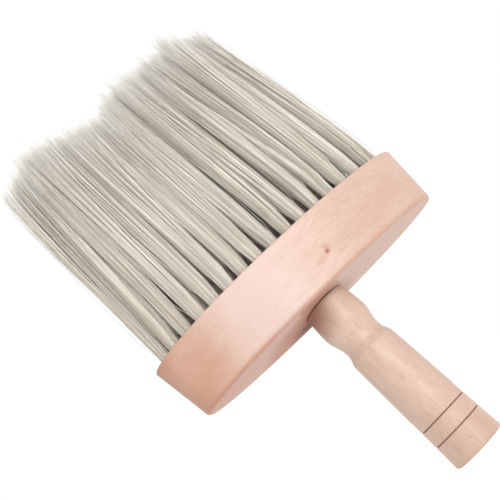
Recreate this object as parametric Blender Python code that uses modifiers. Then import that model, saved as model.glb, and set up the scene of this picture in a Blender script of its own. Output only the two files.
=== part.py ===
"""Neck duster brush: an oval wooden head full of bristle tufts, on a turned wooden handle.

The brush stands on the flat end of its handle with the bristles up. Units are metres, +Z runs from
the handle to the bristle tips, +X runs along the head, and the origin is the centre of the
handle's flat end.
"""

import math

import bmesh
import bpy

OBJECT_NAME = "neck_duster_brush"

# Overall sizes. The height is the handle's runs, the head and the bristles, one on the other.
HEAD_LENGTH = 0.1550
HEAD_WIDTH = 0.0465
HEAD_HEIGHT = 0.0310
BRISTLE_LENGTH = 0.1265

# Head: an oval block that draws in towards the handle.
HEAD_END_TAPER = 0.0047
HEAD_UNDER_ROUND = 0.0015
HEAD_FACE_ROUND = 0.0008
HEAD_ROUND_STEPS = 4
HEAD_SIDES = 144

# Handle: grip, cove, bulb and a round tenon in one turned piece.
GRIP_END_RADIUS = 0.0132
GRIP_SHOULDER_RADIUS = 0.0119
COVE_RADIUS = 0.0102
BULB_RADIUS = 0.0122
NECK_RADIUS = 0.0113
END_ROUND = 0.0012
END_ROUND_STEPS = 4
GROOVE_HEIGHTS = (0.0121, 0.0200)
GROOVE_DEPTH = 0.0006
GROOVE_HALF_WIDTH = 0.0004
HANDLE_STEPS = 64

# Its runs along the axis, from the flat end up to the head.
GRIP_LENGTH = 0.0592
COVE_FALL = 0.0057
COVE_FLOOR = 0.0017
COVE_RISE = 0.0100
BULB_LENGTH = 0.0133

# Tenon of the handle and its blind socket in the head.
TENON_RADIUS = 0.0060
TENON_LENGTH = 0.0150
TENON_CHAMFER = 0.0010

# Tufts: an outer ring, two inner rows and a few on the centre line at each end.
RING_COUNT = 32
INNER_PAIRS = 5
CENTRE_LINE_COUNT = 2
END_MARGIN = 0.0088
SIDE_MARGIN = 0.0065
HOLE_RADIUS = 0.0030
HOLE_DEPTH = 0.0100
TUFT_GAP = 0.0004
TUFT_TIP_CHAMFER = 0.0008
TUFT_SIDES = 10

# Space between pieces that touch, and how far a cutter runs past the face that it opens.
CLEARANCE = 0.0003
CUTTER_OVERRUN = 0.0020

COVE_BOTTOM = GRIP_LENGTH + COVE_FALL
COVE_TOP = COVE_BOTTOM + COVE_FLOOR
BULB_HEIGHT = COVE_TOP + COVE_RISE
HANDLE_HEIGHT = BULB_HEIGHT + BULB_LENGTH
FACE_Z = HANDLE_HEIGHT + HEAD_HEIGHT
OVERALL_HEIGHT = FACE_Z + BRISTLE_LENGTH
SHARP_ANGLE = math.radians(35)
RIM_ANGLE = math.radians(60)


def clear_scene():
    for obj in list(bpy.data.objects):
        bpy.data.objects.remove(obj, do_unlink=True)


def new_collection(name, hidden=False):
    collection = bpy.data.collections.new(name)
    collection.hide_render = hidden
    bpy.context.scene.collection.children.link(collection)
    return collection


def new_material(name, colour, roughness, metallic=0.0):
    material = bpy.data.materials.new(name)
    material.use_nodes = True
    shader = material.node_tree.nodes["Principled BSDF"]
    shader.inputs["Base Color"].default_value = (*colour, 1.0)
    shader.inputs["Roughness"].default_value = roughness
    shader.inputs["Metallic"].default_value = metallic
    return material


def new_object(name, mesh, collection, material=None):
    obj = bpy.data.objects.new(name, mesh)
    collection.objects.link(obj)
    if material is not None and not mesh.materials:
        mesh.materials.append(material)
    return obj


def smooth(mesh):
    mesh.shade_smooth()
    mesh.set_sharp_from_angle(angle=SHARP_ANGLE)


def cone_mesh(name, sides, low_radius, high_radius, low_z, high_z):
    """A closed cone stub about the Z axis between two heights."""
    shape = bmesh.new()
    bmesh.ops.create_cone(
        shape,
        cap_ends=True,
        segments=sides,
        radius1=low_radius,
        radius2=high_radius,
        depth=high_z - low_z,
    )
    bmesh.ops.translate(shape, verts=shape.verts, vec=(0, 0, (low_z + high_z) / 2))
    mesh = bpy.data.meshes.new(name)
    shape.to_mesh(mesh)
    shape.free()
    return mesh


def bevel_edges(obj, width, segments, limit_method):
    bevel = obj.modifiers.new("edges", "BEVEL")
    bevel.width = width
    bevel.segments = segments
    bevel.limit_method = limit_method
    bevel.angle_limit = RIM_ANGLE


def weigh_rims(mesh, low_weight, high_weight):
    """Bevel weights for the lower and the upper rim of a cone stub."""
    middle = sum(vertex.co.z for vertex in mesh.vertices) / len(mesh.vertices)
    weights = mesh.attributes.new("bevel_weight_edge", "FLOAT", "EDGE")
    for edge in mesh.edges:
        high = [mesh.vertices[i].co.z > middle for i in edge.vertices]
        if all(high):
            weights.data[edge.index].value = high_weight
        elif not any(high):
            weights.data[edge.index].value = low_weight


def cut(obj, cutter):
    boolean = obj.modifiers.new(cutter.name, "BOOLEAN")
    boolean.operation = "DIFFERENCE"
    boolean.solver = "EXACT"
    boolean.object = cutter


def ring_points(semi_x, semi_y, count):
    """Points an equal distance apart round an ellipse, starting at its +X end."""
    fine = 4000
    angles = [2 * math.pi * i / fine for i in range(fine + 1)]
    outline = [(semi_x * math.cos(a), semi_y * math.sin(a)) for a in angles]
    run = [0.0]
    for start, end in zip(outline, outline[1:]):
        run.append(run[-1] + math.dist(start, end))
    points = []
    place = 0
    for i in range(count):
        target = run[-1] * i / count
        while run[place + 1] < target:
            place += 1
        points.append(outline[place])
    return points


def tuft_points():
    """The centre of each tuft on the head's bristle face, numbered along the head."""
    semi_x = HEAD_LENGTH / 2 - END_MARGIN
    semi_y = HEAD_WIDTH / 2 - SIDE_MARGIN
    ring = ring_points(semi_x, semi_y, RING_COUNT)
    pitch = math.dist(ring[RING_COUNT // 4], ring[RING_COUNT // 4 + 1])
    inner_y = semi_y / 3
    inner_x = [(i + 0.5) * pitch for i in range(INNER_PAIRS)]
    inner = [(sx * x, sy * inner_y) for x in inner_x for sx in (-1, 1) for sy in (-1, 1)]
    step = (semi_x - inner_x[-1]) / (CENTRE_LINE_COUNT + 1)
    line_x = [inner_x[-1] + step * (i + 1) for i in range(CENTRE_LINE_COUNT)]
    line = [(sx * x, 0.0) for x in line_x for sx in (-1, 1)]
    return sorted(ring + inner + line)


def closest_spacing(points):
    return min(math.dist(a, b) for i, a in enumerate(points) for b in points[i + 1 :])


def make_head(parts, cutters, points, wood):
    """The oval block, with a blind hole for each tuft and a blind socket for the tenon."""
    bottom_half = HEAD_LENGTH / 2 - HEAD_END_TAPER
    mesh = cone_mesh(
        "head", HEAD_SIDES, bottom_half, HEAD_LENGTH / 2, HANDLE_HEIGHT, FACE_Z
    )
    for vertex in mesh.vertices:
        vertex.co.y *= HEAD_WIDTH / HEAD_LENGTH
    smooth(mesh)
    weigh_rims(mesh, 1.0, HEAD_FACE_ROUND / HEAD_UNDER_ROUND)
    head = new_object("head", mesh, parts, wood)
    bevel_edges(head, HEAD_UNDER_ROUND, HEAD_ROUND_STEPS, "WEIGHT")

    holes = bmesh.new()
    hole = cone_mesh(
        "hole",
        TUFT_SIDES,
        HOLE_RADIUS,
        HOLE_RADIUS,
        FACE_Z - HOLE_DEPTH,
        FACE_Z + CUTTER_OVERRUN,
    )
    for x, y in points:
        known = len(holes.verts)
        holes.from_mesh(hole)
        holes.verts.ensure_lookup_table()
        bmesh.ops.translate(holes, verts=holes.verts[known:], vec=(x, y, 0))
    bpy.data.meshes.remove(hole)
    hole_mesh = bpy.data.meshes.new("tuft_holes")
    holes.to_mesh(hole_mesh)
    holes.free()
    socket_mesh = cone_mesh(
        "tenon_socket",
        HANDLE_STEPS,
        TENON_RADIUS + CLEARANCE,
        TENON_RADIUS + CLEARANCE,
        HANDLE_HEIGHT - CUTTER_OVERRUN,
        HANDLE_HEIGHT + TENON_LENGTH,
    )
    for cutter_mesh in (hole_mesh, socket_mesh):
        cutter = new_object(cutter_mesh.name, cutter_mesh, cutters)
        cutter.hide_render = True
        cutter.display_type = "WIRE"
        cut(head, cutter)
    return head


def wave_run(start, end, count, bend):
    """Points after start, up to end, on a half wave (bend 1) or something nearer to a straight line."""
    (start_radius, start_z), (end_radius, end_z) = start, end
    points = []
    for i in range(1, count + 1):
        t = i / count
        share = bend * (1 - math.cos(math.pi * t)) / 2 + (1 - bend) * t
        radius = start_radius + (end_radius - start_radius) * share
        points.append((radius, start_z + (end_z - start_z) * t))
    return points


def swell_run(start, end, count):
    """Points after start, up to end, on a quarter wave that levels off at end."""
    (start_radius, start_z), (end_radius, end_z) = start, end
    points = []
    for i in range(1, count + 1):
        t = i / count
        radius = start_radius + (end_radius - start_radius) * math.sin(math.pi / 2 * t)
        points.append((radius, start_z + (end_z - start_z) * t))
    return points


def groove_points(z):
    """A shallow V cut into the grip, top to bottom."""
    radius = grip_radius(z)
    return [
        (grip_radius(z + GROOVE_HALF_WIDTH), z + GROOVE_HALF_WIDTH),
        (radius - GROOVE_DEPTH, z),
        (grip_radius(z - GROOVE_HALF_WIDTH), z - GROOVE_HALF_WIDTH),
    ]


def grip_radius(z):
    """The straight taper of the grip from its shoulder to its end."""
    share = z / GRIP_LENGTH
    return GRIP_END_RADIUS + (GRIP_SHOULDER_RADIUS - GRIP_END_RADIUS) * share


def handle_profile():
    """The turned outline as (radius, height) from the tenon's top down to the end face."""
    seat = HANDLE_HEIGHT - CLEARANCE
    tenon_top = HANDLE_HEIGHT + TENON_LENGTH - CLEARANCE
    profile = [
        (0.0, tenon_top),
        (TENON_RADIUS - TENON_CHAMFER, tenon_top),
        (TENON_RADIUS, tenon_top - TENON_CHAMFER),
        (TENON_RADIUS, seat),
        (NECK_RADIUS, seat),
    ]
    bulb = (BULB_RADIUS, BULB_HEIGHT)
    cove_top = (COVE_RADIUS, COVE_TOP)
    cove_bottom = (COVE_RADIUS, COVE_BOTTOM)
    shoulder = (GRIP_SHOULDER_RADIUS, GRIP_LENGTH)
    profile += swell_run((NECK_RADIUS, seat), bulb, 6)
    profile += wave_run(bulb, cove_top, 9, 0.9)
    profile += wave_run(cove_top, cove_bottom, 2, 0.0)
    profile += wave_run(cove_bottom, shoulder, 8, 0.8)
    for z in sorted(GROOVE_HEIGHTS, reverse=True):
        profile += groove_points(z)
    for i in range(END_ROUND_STEPS):
        turn = math.pi / 2 * i / (END_ROUND_STEPS - 1)
        side = grip_radius(END_ROUND) - END_ROUND * (1 - math.cos(turn))
        profile.append((side, END_ROUND * (1 - math.sin(turn))))
    profile.append((0.0, 0.0))
    return profile


def make_handle(parts, wood):
    """The turned handle, its tenon in the head's socket."""
    profile = handle_profile()
    mesh = bpy.data.meshes.new("handle")
    points = [(radius, 0.0, z) for radius, z in profile]
    mesh.from_pydata(points, [(i, i + 1) for i in range(len(points) - 1)], [])
    handle = new_object("handle", mesh, parts, wood)
    screw = handle.modifiers.new("turned", "SCREW")
    screw.axis = "Z"
    screw.steps = HANDLE_STEPS
    screw.render_steps = HANDLE_STEPS
    screw.use_merge_vertices = True
    screw.merge_threshold = 0.00001
    screw.use_smooth_shade = True
    return handle


def make_tufts(parts, points, bristle):
    """One plain solid for each tuft: its root in the head, flaring a little to its tip."""
    root_z = FACE_Z - HOLE_DEPTH + CLEARANCE
    mouth_radius = HOLE_RADIUS - CLEARANCE
    tip_radius = (closest_spacing(points) - TUFT_GAP) / 2
    flare = (tip_radius - mouth_radius) / BRISTLE_LENGTH
    root_radius = mouth_radius - flare * (FACE_Z - root_z)
    mesh = cone_mesh("tuft", TUFT_SIDES, root_radius, tip_radius, root_z, OVERALL_HEIGHT)
    smooth(mesh)
    for number, (x, y) in enumerate(points, start=1):
        tuft = new_object(f"bristle_tuft_{number:02d}", mesh, parts, bristle)
        tuft.location = (x, y, 0)
        bevel_edges(tuft, TUFT_TIP_CHAMFER, 1, "ANGLE")


def main():
    clear_scene()
    parts = new_collection(OBJECT_NAME)
    cutters = new_collection("cutters", hidden=True)
    head_wood = new_material("head_beech", (0.78, 0.56, 0.42), 0.5)
    handle_wood = new_material("handle_beech", (0.74, 0.54, 0.40), 0.5)
    bristle = new_material("bristle_nylon", (0.62, 0.58, 0.50), 0.45)
    points = tuft_points()
    make_head(parts, cutters, points, head_wood)
    make_handle(parts, handle_wood)
    make_tufts(parts, points, bristle)


main()
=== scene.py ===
"""Looks of the neck duster brush: beech grain, bristle filaments, staples, camera and soft light.

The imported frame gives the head, the handle and a plain solid for each tuft. The two wooden pieces
keep their shape and get a finish. Each tuft's solid is replaced by its bundle of filaments.
"""

import math

import bpy
import numpy as np
from mathutils import Matrix, Vector


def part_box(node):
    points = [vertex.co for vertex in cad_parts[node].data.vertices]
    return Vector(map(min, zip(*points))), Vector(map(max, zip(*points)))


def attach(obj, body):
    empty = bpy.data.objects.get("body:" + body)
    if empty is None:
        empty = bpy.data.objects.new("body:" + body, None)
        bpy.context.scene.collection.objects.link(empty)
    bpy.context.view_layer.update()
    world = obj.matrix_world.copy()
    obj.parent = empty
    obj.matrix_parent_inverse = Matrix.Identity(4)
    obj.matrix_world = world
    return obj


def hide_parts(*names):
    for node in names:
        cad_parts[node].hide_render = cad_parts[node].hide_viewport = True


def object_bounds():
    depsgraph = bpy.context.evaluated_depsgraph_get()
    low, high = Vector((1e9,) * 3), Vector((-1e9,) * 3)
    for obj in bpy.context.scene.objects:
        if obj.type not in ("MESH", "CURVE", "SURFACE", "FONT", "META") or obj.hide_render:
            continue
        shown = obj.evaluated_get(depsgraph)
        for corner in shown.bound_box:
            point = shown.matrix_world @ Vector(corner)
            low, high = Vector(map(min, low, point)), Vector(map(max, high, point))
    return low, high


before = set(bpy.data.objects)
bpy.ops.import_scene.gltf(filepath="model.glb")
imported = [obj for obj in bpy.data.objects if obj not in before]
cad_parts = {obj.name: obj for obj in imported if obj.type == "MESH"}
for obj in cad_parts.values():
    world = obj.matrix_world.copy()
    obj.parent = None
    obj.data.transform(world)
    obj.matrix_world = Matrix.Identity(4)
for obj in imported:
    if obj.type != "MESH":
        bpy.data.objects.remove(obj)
CAD_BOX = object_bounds()

MM = 0.001
BODY = "root"
TUFT_PREFIX = "bristle_tuft_"

# A tuft's filaments run together in strands, and its strands in locks. Both are laid out over a
# unit disc: the strands' seeds fill STRAND_FIELD of its radius, and all are scattered by a little.
LOCKS = 6
STRANDS = 170
FILAMENTS = 760
STRAND_FIELD = 0.93
STRAND_SCATTER = 0.05
FILAMENT_SCATTER = 0.02
GOLDEN_ANGLE = math.pi * (3 - math.sqrt(5))

# One filament: a thin tube that tapers from the middle of its run. Its levels are shares of its
# length from the bottom of the hole, and it leaves the hole at HOLE_SHARE.
FILAMENT_SIDES = 3
FILAMENT_ROOT_RADIUS = 0.105 * MM
FILAMENT_TIP_RADIUS = 0.058 * MM
FILAMENT_TAPER = (0.5, 1.0)
FILAMENT_LEVELS = (0.0, 0.075, 0.10, 0.18, 0.32, 0.50, 0.68, 0.86, 1.0)
HOLE_SHARE = 0.072

# How a bundle opens, from its radius in the hole to its half widths along X and Y at the tips. A
# small share of it opens at once. Runs here and below are shares of the free length.
BUNDLE_RADIUS = 2.85 * MM
SPREAD = (7.3 * MM, 5.8 * MM)
SPREAD_CURVE = 1.15
ROOT_FLARE = 0.09
ROOT_FLARE_RUN = (0.0, 0.06)

# How far filaments draw in to the middle of their strand, and let go again towards the tips.
STRAND_PULL = 0.60
STRAND_PULL_RUN = (0.02, 0.45)
STRAND_PULL_AT_TIP = 0.15
STRAND_RELEASE_RUN = (0.7, 1.0)

# Sideways bends at the tips, as the spread of normal draws. Flyaway filaments bend more, and loose
# ones stand off to the side from low down.
LOCK_BEND = 0.75 * MM
STRAND_BEND = 0.50 * MM
FILAMENT_BEND = 0.30 * MM
BEND_CURVE = 1.5
FLYAWAY_SHARE = 0.03
FLYAWAY_BEND = 1.8 * MM
LOOSE_SHARE = 0.06
LOOSE_BEND = 1.3 * MM
LOOSE_RUN = (0.0, 0.14)

# How the middle of a tuft runs: each has its own bend and lean, all sweep towards -X, they gather
# towards the brush's middle, and those near the +X end bow outwards.
TUFT_BEND = (1.9 * MM, 1.2 * MM)
TUFT_BEND_CURVE = 1.3
ROOT_LEAN = 0.35 * MM
ROOT_LEAN_RUN = (0.0, 0.16)
LEAN = -3.8 * MM
LEAN_RUN = (0.05, 1.0)
GATHER = (0.088, 0.05)
GATHER_CURVE = 1.6
END_BOW = 1.3 * MM
END_BOW_CURVE = 4

# Lengths. The tip line is measured from a little under the solids' tops. A tuft's rim stands under
# its middle, and each filament falls short by its own amount.
TIP_DROP = 2.9 * MM
TUFT_LENGTH_CHANGE = 0.8 * MM
LOCK_LENGTH_CHANGE = 0.9 * MM
STRAND_LENGTH_CHANGE = 2.0 * MM
DOME_HEIGHT = 1.8 * MM
SHORT_LENGTH = 3.9 * MM
SHORT_SHAPE = 1.4

# How the tip line rises and dips along the head: place and reach as shares of the head's length, rise.
TIP_SWELLS = (
    (-0.38, 0.13, 5.8 * MM),
    (-0.12, 0.07, -8.0 * MM),
    (-0.05, 0.04, -1.5 * MM),
    (0.05, 0.04, -3.0 * MM),
    (0.46, 0.09, -8.0 * MM),
)

# Tones of the nylon, as they look on a screen from 0 to 255, and how they vary.
NYLON_DARK = (194, 185, 170)
NYLON_PALE = (255, 250, 241)
MIDDLE_TONE = 0.5
STRAND_TONE_CHANGE = 0.30
FILAMENT_TONE_CHANGE = 0.42
FIRST_SEED = 1000

# Beech: pale wood, warm wood and dark fibres, as they look on a screen.
HEAD_BEECH = ((189, 162, 148), (182, 151, 134), (140, 102, 80))
HANDLE_BEECH = ((187, 161, 145), (178, 149, 132), (140, 104, 82))

# Patterns of the grain: how much of its length each keeps along the grain, then its noise's features
# in a metre, detail, roughness and distortion.
CLOUDS = (0.40, 34.0, 3.0, 0.55, 0.4)
MOTTLE = (0.45, 320.0, 3.0, 0.6, 0.5)
FIBRES = (0.06, 1100.0, 3.0, 0.6, 0.0)
FLECKS = (0.22, 1900.0, 1.0, 0.4, 0.0)
DRIFT = (0.60, 55.0, 3.0, 0.6, 0.0)
GRAIN_DEPTH = 0.05 * MM

# Satin lacquer over sanded wood.
WOOD_ROUGHNESS = 0.44
MOTTLE_ROUGHNESS = 0.12
BARE_ROUGHNESS = 0.44
LACQUER = 0.2
LACQUER_ROUGHNESS = 0.3

# Stains, painted shade and a painted highlight: how strong each is at its darkest, and its colour as it
# looks on a screen.
# The -X end: darker from its end grain and from painted shade, with more painted shade at its very tip.
END_GRAIN_AND_SHADE = (0.76, (168, 120, 95))
END_SHADE = (0.35, (120, 82, 66))
ROSY_END = (0.28, (176, 140, 127))
# A painted highlight across the front, a little towards -X of its middle.
PAINTED_HIGHLIGHT = (0.42, (204, 184, 177))
# Painted shade along the rounded lower edge, just above the underside.
RIM_SHADE = (0.42, (156, 112, 86))
# Painted shade on the flat underside, on the -X side of the handle.
UNDERSIDE_SHADE = (0.55, (158, 106, 84))
# Painted shade and a painted shadow on the underside round the handle's neck.
SEAT_RING_SHADE = (0.35, (84, 56, 38))
SEAT_BROWN_SHADE = (0.42, (150, 88, 60))
SEAT_SHADOW = (0.86, (92, 60, 42))
GROOVE_SCORCH = (0.62, (116, 76, 54))
JOINT_LINE = (0.92, (62, 38, 24))
# Painted shade on the handle's neck, under the head.
NECK_SHADE = (0.80, (124, 80, 58))
HANDLE_FLECK = (0.45, (132, 92, 72))
# Painted shade towards the roots of the bristles.
NYLON_ROOT_SHADE = (0.30, (190, 178, 160))
NYLON_TIP = (0.70, (250, 249, 242))

# The knot on the head's front: its place, as shares of the head's size from its middle, front and
# underside, and its marks. Each mark has a shift, a stretch, where it fades out, and its stain.
KNOT_PLACE = (0.086, 0.02, 0.36)
KNOT_MARKS = (
    ((-4.5 * MM, 0, -1.2 * MM), (0.34, 0.3, 0.9), (0.4 * MM, 2.2 * MM), (0.30, (160, 110, 90))),
    ((1.0 * MM, 0, 1.4 * MM), (1.0, 0.3, 0.62), (0.3 * MM, 2.3 * MM), (0.55, (172, 106, 90))),
    ((0, 0, 0), (0.85, 0.3, 1.0), (0.40 * MM, 1.45 * MM), (0.90, (122, 64, 50))),
)

# The middle of the painted shadow in the corner of the head's underside, behind the handle's neck.
CORNER = Vector((-10.0 * MM, 13.0 * MM, 0))

# The handle's two grooves and the small fleck on its front: heights above its flat end, and the
# fleck's X.
GROOVES = (12.1 * MM, 20.0 * MM)
FLECK_X = -2.4 * MM
FLECK_HEIGHT = 6.3 * MM

# Staples that hold the folded tufts.
WIRE_RADIUS = 0.25 * MM
STAPLE_HALF_WIDTH = 1.6 * MM
STAPLE_LEG = 3.5 * MM

# The camera: its place in heights of the brush, its turns in degrees and its lens in millimetres.
CAMERA_PLACE = Vector((-0.2728, -1.2599, 0.1047))
CAMERA_YAW, CAMERA_PITCH, CAMERA_ROLL = 11.22, 18.72, -46.85
CAMERA_LENS = 50.4
CAMERA_SENSOR = 36.0

# The studio: a glowing pale floor, white light all round and a broad key, with its turns in degrees.
FLOOR_HALF_WIDTH = 20.0
FLOOR_GLOW = 0.4
SKY_STRENGTH = 1.0
KEY_STRENGTH = 1.5
KEY_WIDTH = 20
KEY_RISE, KEY_TURN = 12, 14


class Value:
    """A number that a finish works out over a surface. Arithmetic on it adds Math nodes."""

    def __init__(self, finish, socket):
        self.finish = finish
        self.socket = socket

    def maths(self, operation, *inputs):
        sockets = dict(enumerate(inputs))
        return self.finish.node("ShaderNodeMath", {"operation": operation}, sockets)

    def __add__(self, other):
        return self.maths("ADD", self, other)

    __radd__ = __add__

    def __sub__(self, other):
        return self.maths("SUBTRACT", self, other)

    def __rsub__(self, other):
        return self.maths("SUBTRACT", other, self)

    def __mul__(self, other):
        return self.maths("MULTIPLY", self, other)

    __rmul__ = __mul__

    def __truediv__(self, other):
        return self.maths("DIVIDE", self, other)

    def __rtruediv__(self, other):
        return self.maths("DIVIDE", other, self)

    def __abs__(self):
        return self.maths("ABSOLUTE", self)


class Finish:
    """A material, and the one way that its nodes are made."""

    def __init__(self, name):
        self.material = bpy.data.materials.new(name)
        self.material.use_nodes = True
        self.tree = self.material.node_tree
        self.tree.nodes.clear()

    def node(self, kind, settings=None, sockets=None, output=0):
        """Adds a node: its settings first, then its sockets' values or links. Gives one output."""
        made = self.tree.nodes.new(kind)
        for name, value in (settings or {}).items():
            setattr(made, name, value)
        for name, value in (sockets or {}).items():
            if isinstance(value, Value):
                self.tree.links.new(value.socket, made.inputs[name])
            else:
                made.inputs[name].default_value = value
        return Value(self, made.outputs[output] if made.outputs else None)

    def ramp(self, value, low, high, start=0.0, end=1.0):
        """From start below low to end above high, and smooth between them."""
        sockets = {0: value, 1: low, 2: high, 3: start, 4: end}
        return self.node("ShaderNodeMapRange", {"interpolation_type": "SMOOTHSTEP"}, sockets)

    def fade(self, value, low, high):
        """1 below low, 0 above high, and smooth between them."""
        return self.ramp(value, low, high, 1.0, 0.0)

    def mix(self, share, first, second):
        """A colour between two colours."""
        sockets = {0: share, 6: first, 7: second}
        return self.node("ShaderNodeMix", {"data_type": "RGBA"}, sockets, 2)

    def stained_or_shaded(self, colour, mask, mark):
        """The colour, drawn towards the mark's colour where the mask is high; marks are stains, painted
        shade and a painted highlight.
        """
        strength, shade = mark
        return self.mix(strength * mask, colour, tint(*shade))

    def noise(self, vector, scale, detail=2.0, roughness=0.5, distortion=0.0):
        sockets = {
            "Vector": vector,
            "Scale": scale,
            "Detail": detail,
            "Roughness": roughness,
            "Distortion": distortion,
        }
        return self.node("ShaderNodeTexNoise", None, sockets, "Fac")

    def grain(self, place, along, pattern):
        """Noise that is drawn out along one axis."""
        keep, *settings = pattern
        across = Vector((1, 1, 1)) - along
        return self.noise(self.stretched(place, across + along * keep), *settings)

    def stretched(self, vector, stretch):
        """The place on the piece, with each axis scaled by its own amount."""
        sockets = {0: vector, 1: stretch}
        return self.node("ShaderNodeVectorMath", {"operation": "MULTIPLY"}, sockets)

    def shifted(self, vector, shift):
        return self.node("ShaderNodeVectorMath", {"operation": "ADD"}, {0: vector, 1: shift})

    def distance(self, place, point, stretch):
        """How far a place is from a point, with each axis weighed by its own amount."""
        offset = self.stretched(self.shifted(place, -point), stretch)
        return self.node("ShaderNodeVectorMath", {"operation": "LENGTH"}, {0: offset}, "Value")

    def place(self):
        return self.node("ShaderNodeTexCoord", output="Object")

    def axes(self, vector):
        """The X, Y and Z of a vector."""
        split = self.node("ShaderNodeSeparateXYZ", None, {0: vector}).socket.node
        return [Value(self, output) for output in split.outputs]

    def bump(self, height, distance):
        return self.node("ShaderNodeBump", None, {"Height": height, "Distance": distance})

    def done(self, **sockets):
        """Joins a Principled shader, with these sockets, to the material's output."""
        named = {name.replace("_", " "): value for name, value in sockets.items()}
        shader = self.node("ShaderNodeBsdfPrincipled", None, named)
        self.node("ShaderNodeOutputMaterial", None, {"Surface": shader})
        return self.material


def tint(red, green, blue):
    """A colour given as it looks on a screen, from 0 to 255, as the shaders' linear numbers."""
    linear = []
    for part in (red, green, blue):
        share = part / 255
        linear.append(share / 12.92 if share <= 0.04045 else ((share + 0.055) / 1.055) ** 2.4)
    return (*linear, 1.0)


def beech(finish, place, along, tones):
    """Beech: soft clouds and mottling, faint fibres and short flecks, drawn out along the grain."""
    pale, warm, dark = [tint(*tone) for tone in tones]
    clouds = finish.grain(place, along, CLOUDS)
    mottle = finish.grain(place, along, MOTTLE)
    fibres = finish.grain(place, along, FIBRES)
    flecks = finish.ramp(finish.grain(place, along, FLECKS), 0.60, 0.72)
    colour = finish.mix(finish.ramp(clouds, 0.36, 0.66), pale, warm)
    colour = finish.mix(0.55 * finish.ramp(mottle, 0.42, 0.70), colour, warm)
    colour = finish.mix(0.22 * finish.ramp(fibres, 0.42, 0.78), colour, dark)
    colour = finish.mix(0.18 * flecks, colour, dark)
    height = 0.5 * fibres + 0.4 * mottle - 0.4 * flecks
    return colour, mottle, height


def wood_done(finish, colour, mottle, height, bare=0.0):
    """Closes a wooden finish: satin lacquer over fine-sanded grain, thin and dull where it is bare."""
    return finish.done(
        Base_Color=colour,
        Roughness=WOOD_ROUGHNESS + MOTTLE_ROUGHNESS * mottle + BARE_ROUGHNESS * bare,
        Normal=finish.bump(height, GRAIN_DEPTH),
        Coat_Weight=LACQUER - LACQUER * bare,
        Coat_Roughness=LACQUER_ROUGHNESS,
        IOR=1.45,
    )


def head_tones(finish, colour, place, along, low, size):
    """The head's broad tones: brown -X end from end grain and painted shade, rosy +X end, a painted
    highlight between, brown painted shade on the rim and underside.
    """
    x, _, z = finish.axes(place)
    share = x / size.x
    drift = finish.grain(place, along, DRIFT)
    # The -X end is darker from its end grain and from painted shade, with more painted shade at its very
    # tip.
    end_grain_and_shade = finish.ramp(0.32 * drift - share, 0.43, 0.66)
    end_shade = finish.ramp(0.10 * drift - share, 0.47, 0.56)
    rosy = finish.ramp(0.5 * drift + share, 0.60, 0.82)
    # A painted highlight across the front, a little towards -X of its middle.
    middle = finish.fade(abs(share + 0.15), 0.04, 0.20)
    # Painted shade along the rounded lower edge, just above the underside.
    rim = finish.fade(z + 1.6 * MM * drift, low.z + 1.4 * MM, low.z + 4.2 * MM)
    # Painted shade on the flat underside, on the -X side of the handle.
    flat = finish.fade(z, low.z + 0.8 * MM, low.z + 2.0 * MM)
    left = finish.fade(x + 8.0 * MM * drift, -30.0 * MM, 4.0 * MM)
    colour = finish.stained_or_shaded(colour, end_grain_and_shade, END_GRAIN_AND_SHADE)
    colour = finish.stained_or_shaded(colour, end_shade, END_SHADE)
    colour = finish.stained_or_shaded(colour, rosy, ROSY_END)
    colour = finish.stained_or_shaded(colour, middle, PAINTED_HIGHLIGHT)
    colour = finish.stained_or_shaded(colour, rim, RIM_SHADE)
    return finish.stained_or_shaded(colour, flat * left, UNDERSIDE_SHADE)


def knotted(finish, colour, place, low, size):
    """The colour with the small knot on it: a trail along the grain, a halo above and a dark core."""
    across, back, up = KNOT_PLACE
    knot = Vector((across * size.x, low.y + back * size.y, low.z + up * size.z))
    for shift, stretch, reach, mark in KNOT_MARKS:
        away = finish.distance(place, knot + Vector(shift), stretch)
        colour = finish.stained_or_shaded(colour, finish.fade(away, *reach), mark)
    return colour


def seat_shade(finish, colour, place, low):
    """Painted shade on the underside round the handle: a ring, a brown shade and a dark corner; and
    where it is bare.
    """
    x, _, z = finish.axes(place)
    out = finish.distance(place, Vector(), (1, 1, 0))
    away = finish.distance(place, CORNER, (1, 1, 0))
    under = finish.fade(z, low.z + 0.4 * MM, low.z + 1.6 * MM)
    under_left = under * finish.fade(x, -2.0 * MM, 9.0 * MM)
    # Painted shade round the neck on the -X side, and a painted shadow in the corner behind the neck.
    ring = finish.fade(out, 11.6 * MM, 13.2 * MM) * under_left
    brown_shade = finish.fade(out, 13.0 * MM, 34.0 * MM) * under_left
    corner = finish.fade(away, 1.0 * MM, 15.0 * MM) * under
    bare = finish.fade(away, 14.0 * MM, 34.0 * MM) * under
    colour = finish.stained_or_shaded(colour, ring, SEAT_RING_SHADE)
    colour = finish.stained_or_shaded(colour, brown_shade, SEAT_BROWN_SHADE)
    return finish.stained_or_shaded(colour, corner, SEAT_SHADOW), bare


def head_finish():
    """The head's beech, its grain along the head, with one small knot on the front."""
    low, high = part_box("head")
    size = high - low
    finish = Finish("lacquered_beech_head")
    place = finish.place()
    along = Vector((1, 0, 0))
    colour, mottle, height = beech(finish, place, along, HEAD_BEECH)
    colour = head_tones(finish, colour, place, along, low, size)
    colour = knotted(finish, colour, place, low, size)
    colour, bare = seat_shade(finish, colour, place, low)
    return wood_done(finish, colour, mottle, height, bare)


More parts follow.
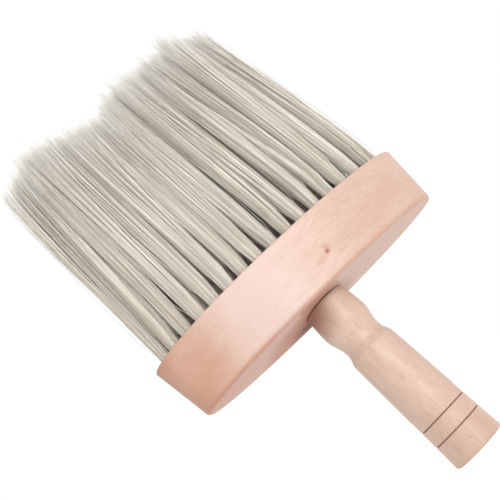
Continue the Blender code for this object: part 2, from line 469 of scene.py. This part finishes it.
def handle_finish():
    """The handle's beech, its grain along the handle, scorched in the grooves, dark at the joint, with
    painted shade under the head.
    """
    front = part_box("handle")[0].y
    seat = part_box("head")[0].z
    finish = Finish("lacquered_beech_handle")
    place = finish.place()
    x, _, z = finish.axes(place)
    colour, mottle, height = beech(finish, place, Vector((0, 0, 1)), HANDLE_BEECH)
    for groove in GROOVES:
        line = finish.fade(abs(z - groove), 0.12 * MM, 0.42 * MM)
        colour = finish.stained_or_shaded(colour, line, GROOVE_SCORCH)
    joint = finish.ramp(z, seat - 0.75 * MM, seat - 0.35 * MM) * finish.fade(x, 1.0 * MM, 7.0 * MM)
    # Painted shade on the -X side of the neck, just under the head.
    shade = finish.ramp(z, seat - 18.0 * MM, seat - 3.0 * MM) * finish.fade(x, -9.0 * MM, 4.0 * MM)
    away = finish.distance(place, Vector((FLECK_X, front, FLECK_HEIGHT)), (1, 0.2, 0.7))
    fleck = finish.fade(away, 0.15 * MM, 0.6 * MM)
    colour = finish.stained_or_shaded(colour, joint, JOINT_LINE)
    colour = finish.stained_or_shaded(colour, shade, NECK_SHADE)
    colour = finish.stained_or_shaded(colour, fleck, HANDLE_FLECK)
    return wood_done(finish, colour, mottle, height)


def bristle_finish():
    """Warm grey nylon: each filament has its own tone, painted shade darkens it towards the roots, and
    the tips are a little paler.
    """
    finish = Finish("bristle_nylon")
    tone = finish.node("ShaderNodeAttribute", {"attribute_name": "tone"}, None, "Fac")
    run = finish.node("ShaderNodeAttribute", {"attribute_name": "run"}, None, "Fac")
    colour = finish.mix(tone, tint(*NYLON_DARK), tint(*NYLON_PALE))
    # Painted shade, darker towards the roots.
    colour = finish.stained_or_shaded(colour, finish.fade(run, 0.05, 0.50), NYLON_ROOT_SHADE)
    colour = finish.stained_or_shaded(colour, finish.ramp(run, 0.80, 1.0), NYLON_TIP)
    return finish.done(Base_Color=colour, Roughness=0.42 + 0.1 * tone, IOR=1.5)


def staple_finish():
    """Thin galvanised wire, a little dull."""
    finish = Finish("staple_wire")
    spots = finish.noise(finish.place(), 900.0)
    colour = finish.mix(spots, tint(150, 150, 148), tint(196, 196, 192))
    return finish.done(Base_Color=colour, Metallic=0.9, Roughness=0.3 + 0.2 * spots)


def floor_finish():
    """Pale card that glows a little."""
    finish = Finish("pale_floor")
    cloud = finish.noise(finish.place(), 3.0)
    colour = finish.mix(cloud, tint(249, 249, 249), tint(252, 252, 252))
    return finish.done(
        Base_Color=colour, Roughness=0.9, Emission_Color=colour, Emission_Strength=FLOOR_GLOW
    )


def ease(share, start, end):
    """0 before start, 1 after end, smooth between them."""
    t = np.clip((share - start) / (end - start), 0, 1)
    return t * t * (3 - 2 * t)


def disc_points(count, draw):
    """Points spread evenly over a unit disc, as the seeds of a sunflower are, turned by chance."""
    turn = draw.uniform(0, 2 * math.pi)
    steps = np.arange(count)
    radius = np.sqrt((steps + 0.5) / count)
    angle = steps * GOLDEN_ANGLE + turn
    return np.stack([radius * np.cos(angle), radius * np.sin(angle)], axis=1)


def nearest(points, seeds):
    """The number of the seed nearest to each point."""
    return np.linalg.norm(points[:, None] - seeds[None], axis=2).argmin(axis=1)


def lay_out(draw):
    """Filaments and strand seeds over a unit disc, each filament's strand and each strand's lock."""
    places = disc_points(FILAMENTS, draw)
    places += draw.normal(0, FILAMENT_SCATTER, places.shape)
    seeds = disc_points(STRANDS, draw) * STRAND_FIELD
    seeds += draw.normal(0, STRAND_SCATTER, seeds.shape)
    return places, seeds, nearest(places, seeds), nearest(seeds, disc_points(LOCKS, draw))


def tip_bends(strand, lock, draw):
    """How far each filament's tip bends along X and Y: its lock's part, its strand's and its own."""
    strand_bend = draw.normal(0, LOCK_BEND, (LOCKS, 2))[lock]
    strand_bend += draw.normal(0, STRAND_BEND, (STRANDS, 2))
    bend = strand_bend[strand] + draw.normal(0, FILAMENT_BEND, (FILAMENTS, 2))
    flyaway = draw.random(FILAMENTS) < FLYAWAY_SHARE
    bend[flyaway] += draw.normal(0, FLYAWAY_BEND, (flyaway.sum(), 2))
    return bend


def opened_bundle(places, strand_places, bend, free, draw):
    """The X and Y of each filament from the tuft's middle, at each level."""
    opened = ROOT_FLARE * ease(free, *ROOT_FLARE_RUN) + (1 - ROOT_FLARE) * free**SPREAD_CURVE
    radius = BUNDLE_RADIUS + (np.array(SPREAD) - BUNDLE_RADIUS) * opened[:, None]
    pull = STRAND_PULL * ease(free, *STRAND_PULL_RUN)
    pull -= (STRAND_PULL - STRAND_PULL_AT_TIP) * ease(free, *STRAND_RELEASE_RUN)
    own = places[:, None] * radius[None]
    shared = strand_places[:, None] * radius[None]
    flat = own + (shared - own) * pull[None, :, None]
    flat = flat + bend[:, None] * (free**BEND_CURVE)[None, :, None]
    loose = draw.normal(0, LOOSE_BEND, (FILAMENTS, 2)) * (draw.random((FILAMENTS, 1)) < LOOSE_SHARE)
    return flat + loose[:, None] * ease(free, *LOOSE_RUN)[None, :, None]


def tuft_middle(centre, head_length, free, draw):
    """The X and Y of the tuft's middle at each level."""
    middle = centre * (1 - np.array(GATHER) * free[:, None] ** GATHER_CURVE)
    middle[:, 0] += LEAN * ease(free, *LEAN_RUN)
    end_share = max(2 * centre[0] / head_length, 0)
    middle[:, 0] += END_BOW * end_share**END_BOW_CURVE * np.sin(np.pi * free)
    middle += draw.normal(0, TUFT_BEND) * (free**TUFT_BEND_CURVE)[:, None]
    middle += draw.normal(0, ROOT_LEAN, 2) * ease(free, *ROOT_LEAN_RUN)[:, None]
    return middle


def tip_rise(share):
    """How far the tip line stands above or below the nominal tips, at a share of the head's length."""
    return sum(rise * np.exp(-(((share - place) / reach) ** 2)) for place, reach, rise in TIP_SWELLS)


def filament_paths(low, high, head_length, draw):
    """The points of each filament of a tuft (filament, level, xyz), its strand, and the levels."""
    run = np.array(FILAMENT_LEVELS)
    free = np.clip((run - HOLE_SHARE) / (1 - HOLE_SHARE), 0, 1)
    places, seeds, strand, lock = lay_out(draw)
    bend = tip_bends(strand, lock, draw)
    flat = opened_bundle(places, seeds[strand], bend, free, draw)
    flat = flat + tuft_middle(np.array((low + high) / 2)[:2], head_length, free, draw)[None]

    top = high.z - TIP_DROP + tip_rise(flat[:, -1, 0] / head_length) + draw.normal(0, TUFT_LENGTH_CHANGE)
    top += draw.normal(0, LOCK_LENGTH_CHANGE, LOCKS)[lock][strand]
    top += draw.normal(0, STRAND_LENGTH_CHANGE, STRANDS)[strand]
    top -= DOME_HEIGHT * (seeds[strand] ** 2).sum(axis=1)
    top -= draw.gamma(SHORT_SHAPE, SHORT_LENGTH, FILAMENTS)
    height = low.z + run[None] * (top - low.z)[:, None]
    return np.concatenate([flat, height[..., None]], axis=2), strand, run


def tube_mesh(name, paths, radii, sides):
    """One mesh of closed thin tubes, one along each upright path."""
    count, levels, _ = paths.shape
    angles = 2 * np.pi * np.arange(sides) / sides
    ring = np.stack([np.cos(angles), np.sin(angles), np.zeros(sides)], axis=1)
    points = paths[:, :, None] + ring[None, None] * radii[None, :, None, None]
    start = np.arange(count)[:, None, None] * levels * sides
    level = np.arange(levels - 1)[None, :, None] * sides
    side = np.arange(sides)[None, None]
    after = (side + 1) % sides
    low, high = start + level, start + level + sides
    quads = np.stack([low + side, low + after, high + after, high + side], axis=-1)
    ends = np.arange(sides)
    first = start[:, 0] + ends[::-1]
    last = start[:, 0] + (levels - 1) * sides + ends
    corners = np.concatenate([quads.reshape(-1), first.reshape(-1), last.reshape(-1)])
    sizes = np.concatenate([np.full(quads.size // 4, 4), np.full(2 * count, sides)])

    mesh = bpy.data.meshes.new(name)
    mesh.vertices.add(points.size // 3)
    mesh.vertices.foreach_set("co", np.ascontiguousarray(points, np.float32).reshape(-1))
    mesh.loops.add(len(corners))
    mesh.loops.foreach_set("vertex_index", corners.astype(np.int32))
    mesh.polygons.add(len(sizes))
    mesh.polygons.foreach_set("loop_start", (np.cumsum(sizes) - sizes).astype(np.int32))
    mesh.update(calc_edges=True)
    mesh.shade_smooth()
    return mesh


def add_values(mesh, name, values):
    attribute = mesh.attributes.new(name, "FLOAT", "POINT")
    attribute.data.foreach_set("value", np.ascontiguousarray(values, np.float32).reshape(-1))


def shown(name, data):
    """A new object in the scene."""
    made = bpy.data.objects.new(name, data)
    bpy.context.scene.collection.objects.link(made)
    return made


def make_tuft(node, finish, head_length, draw):
    """The filaments that stand for one tuft's solid."""
    name = node + "_filaments"
    paths, strand, run = filament_paths(*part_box(node), head_length, draw)
    taper = ease(run, *FILAMENT_TAPER)
    radii = FILAMENT_ROOT_RADIUS + (FILAMENT_TIP_RADIUS - FILAMENT_ROOT_RADIUS) * taper
    mesh = tube_mesh(name, paths, radii, FILAMENT_SIDES)
    tone = MIDDLE_TONE + draw.normal(0, STRAND_TONE_CHANGE, STRANDS)[strand]
    tone += draw.normal(0, FILAMENT_TONE_CHANGE, FILAMENTS)
    around = len(run) * FILAMENT_SIDES
    add_values(mesh, "tone", np.repeat(np.clip(tone, 0, 1), around))
    add_values(mesh, "run", np.tile(np.repeat(run, FILAMENT_SIDES), FILAMENTS))
    mesh.materials.append(finish)
    piece = shown(name, mesh)
    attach(piece, BODY)
    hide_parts(node)


def make_bristles(nodes):
    finish = bristle_finish()
    low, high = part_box("head")
    for number, node in enumerate(nodes):
        make_tuft(node, finish, high.x - low.x, np.random.default_rng(FIRST_SEED + number))


def make_staples(nodes):
    """The bent wires at the bottom of the holes, each across its folded tuft and into the wood."""
    curve = bpy.data.curves.new("tuft_staples", "CURVE")
    curve.dimensions = "3D"
    curve.bevel_depth = WIRE_RADIUS
    curve.bevel_resolution = 2
    curve.use_fill_caps = True
    half, leg, corner = STAPLE_HALF_WIDTH, STAPLE_LEG, 2 * WIRE_RADIUS
    outline = [(half, -leg), (half, -corner), (half - corner, 0)]
    outline += [(-across, up) for across, up in reversed(outline)]
    for node in nodes:
        low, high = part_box(node)
        centre = (low + high) / 2
        spline = curve.splines.new("POLY")
        spline.points.add(len(outline) - 1)
        for point, (across, up) in zip(spline.points, outline):
            point.co = (centre.x + across, centre.y, low.z + 2 * WIRE_RADIUS + up, 1)
    curve.materials.append(staple_finish())
    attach(shown("tuft_staples", curve), BODY)


def finish_wood():
    for node, finish in (("head", head_finish()), ("handle", handle_finish())):
        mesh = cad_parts[node].data
        mesh.materials.clear()
        mesh.materials.append(finish)


def make_camera():
    """A 50 mm lens just above the standing surface, looking up at the brush and rolled."""
    low, high = CAD_BOX
    place = CAMERA_PLACE * (high[2] - low[2])
    yaw, pitch, roll = (math.radians(turn) for turn in (CAMERA_YAW, CAMERA_PITCH, CAMERA_ROLL))
    ahead = Vector(
        (math.sin(yaw) * math.cos(pitch), math.cos(yaw) * math.cos(pitch), math.sin(pitch))
    )
    right = ahead.cross(Vector((0, 0, 1))).normalized()
    right = Matrix.Rotation(-roll, 3, ahead) @ right
    up = right.cross(ahead)
    camera = shown("camera", bpy.data.cameras.new("camera"))
    camera.data.sensor_width = CAMERA_SENSOR
    camera.data.lens = CAMERA_LENS
    camera.data.clip_start = 10 * MM
    turn = Matrix((right, up, -ahead)).transposed().to_4x4()
    camera.matrix_world = Matrix.Translation(place) @ turn
    bpy.context.scene.camera = camera


def make_floor():
    half = FLOOR_HALF_WIDTH
    corners = [(-half, -half, 0), (half, -half, 0), (half, half, 0), (-half, half, 0)]
    mesh = bpy.data.meshes.new("floor")
    mesh.from_pydata(corners, [], [(0, 1, 2, 3)])
    mesh.materials.append(floor_finish())
    shown("floor", mesh)


def make_light():
    """White light from all round, and a broad soft key from the front, a little above and to +X."""
    scene = bpy.context.scene
    world = bpy.data.worlds.new("studio")
    world.use_nodes = True
    scene.world = world
    sky = world.node_tree.nodes["Background"]
    sky.inputs["Color"].default_value = (1, 1, 1, 1)
    sky.inputs["Strength"].default_value = SKY_STRENGTH
    key = bpy.data.lights.new("key", "SUN")
    key.energy = KEY_STRENGTH
    key.angle = math.radians(KEY_WIDTH)
    rise, turn = math.radians(KEY_RISE), math.radians(KEY_TURN)
    towards = Vector(
        (math.sin(turn) * math.cos(rise), -math.cos(turn) * math.cos(rise), math.sin(rise))
    )
    shown("key", key).rotation_euler = towards.to_track_quat("Z", "Y").to_euler()
    scene.view_settings.view_transform = "Standard"


make_camera()
make_floor()
make_light()
finish_wood()
tuft_nodes = sorted(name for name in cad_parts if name.startswith(TUFT_PREFIX))
make_bristles(tuft_nodes)
make_staples(tuft_nodes)
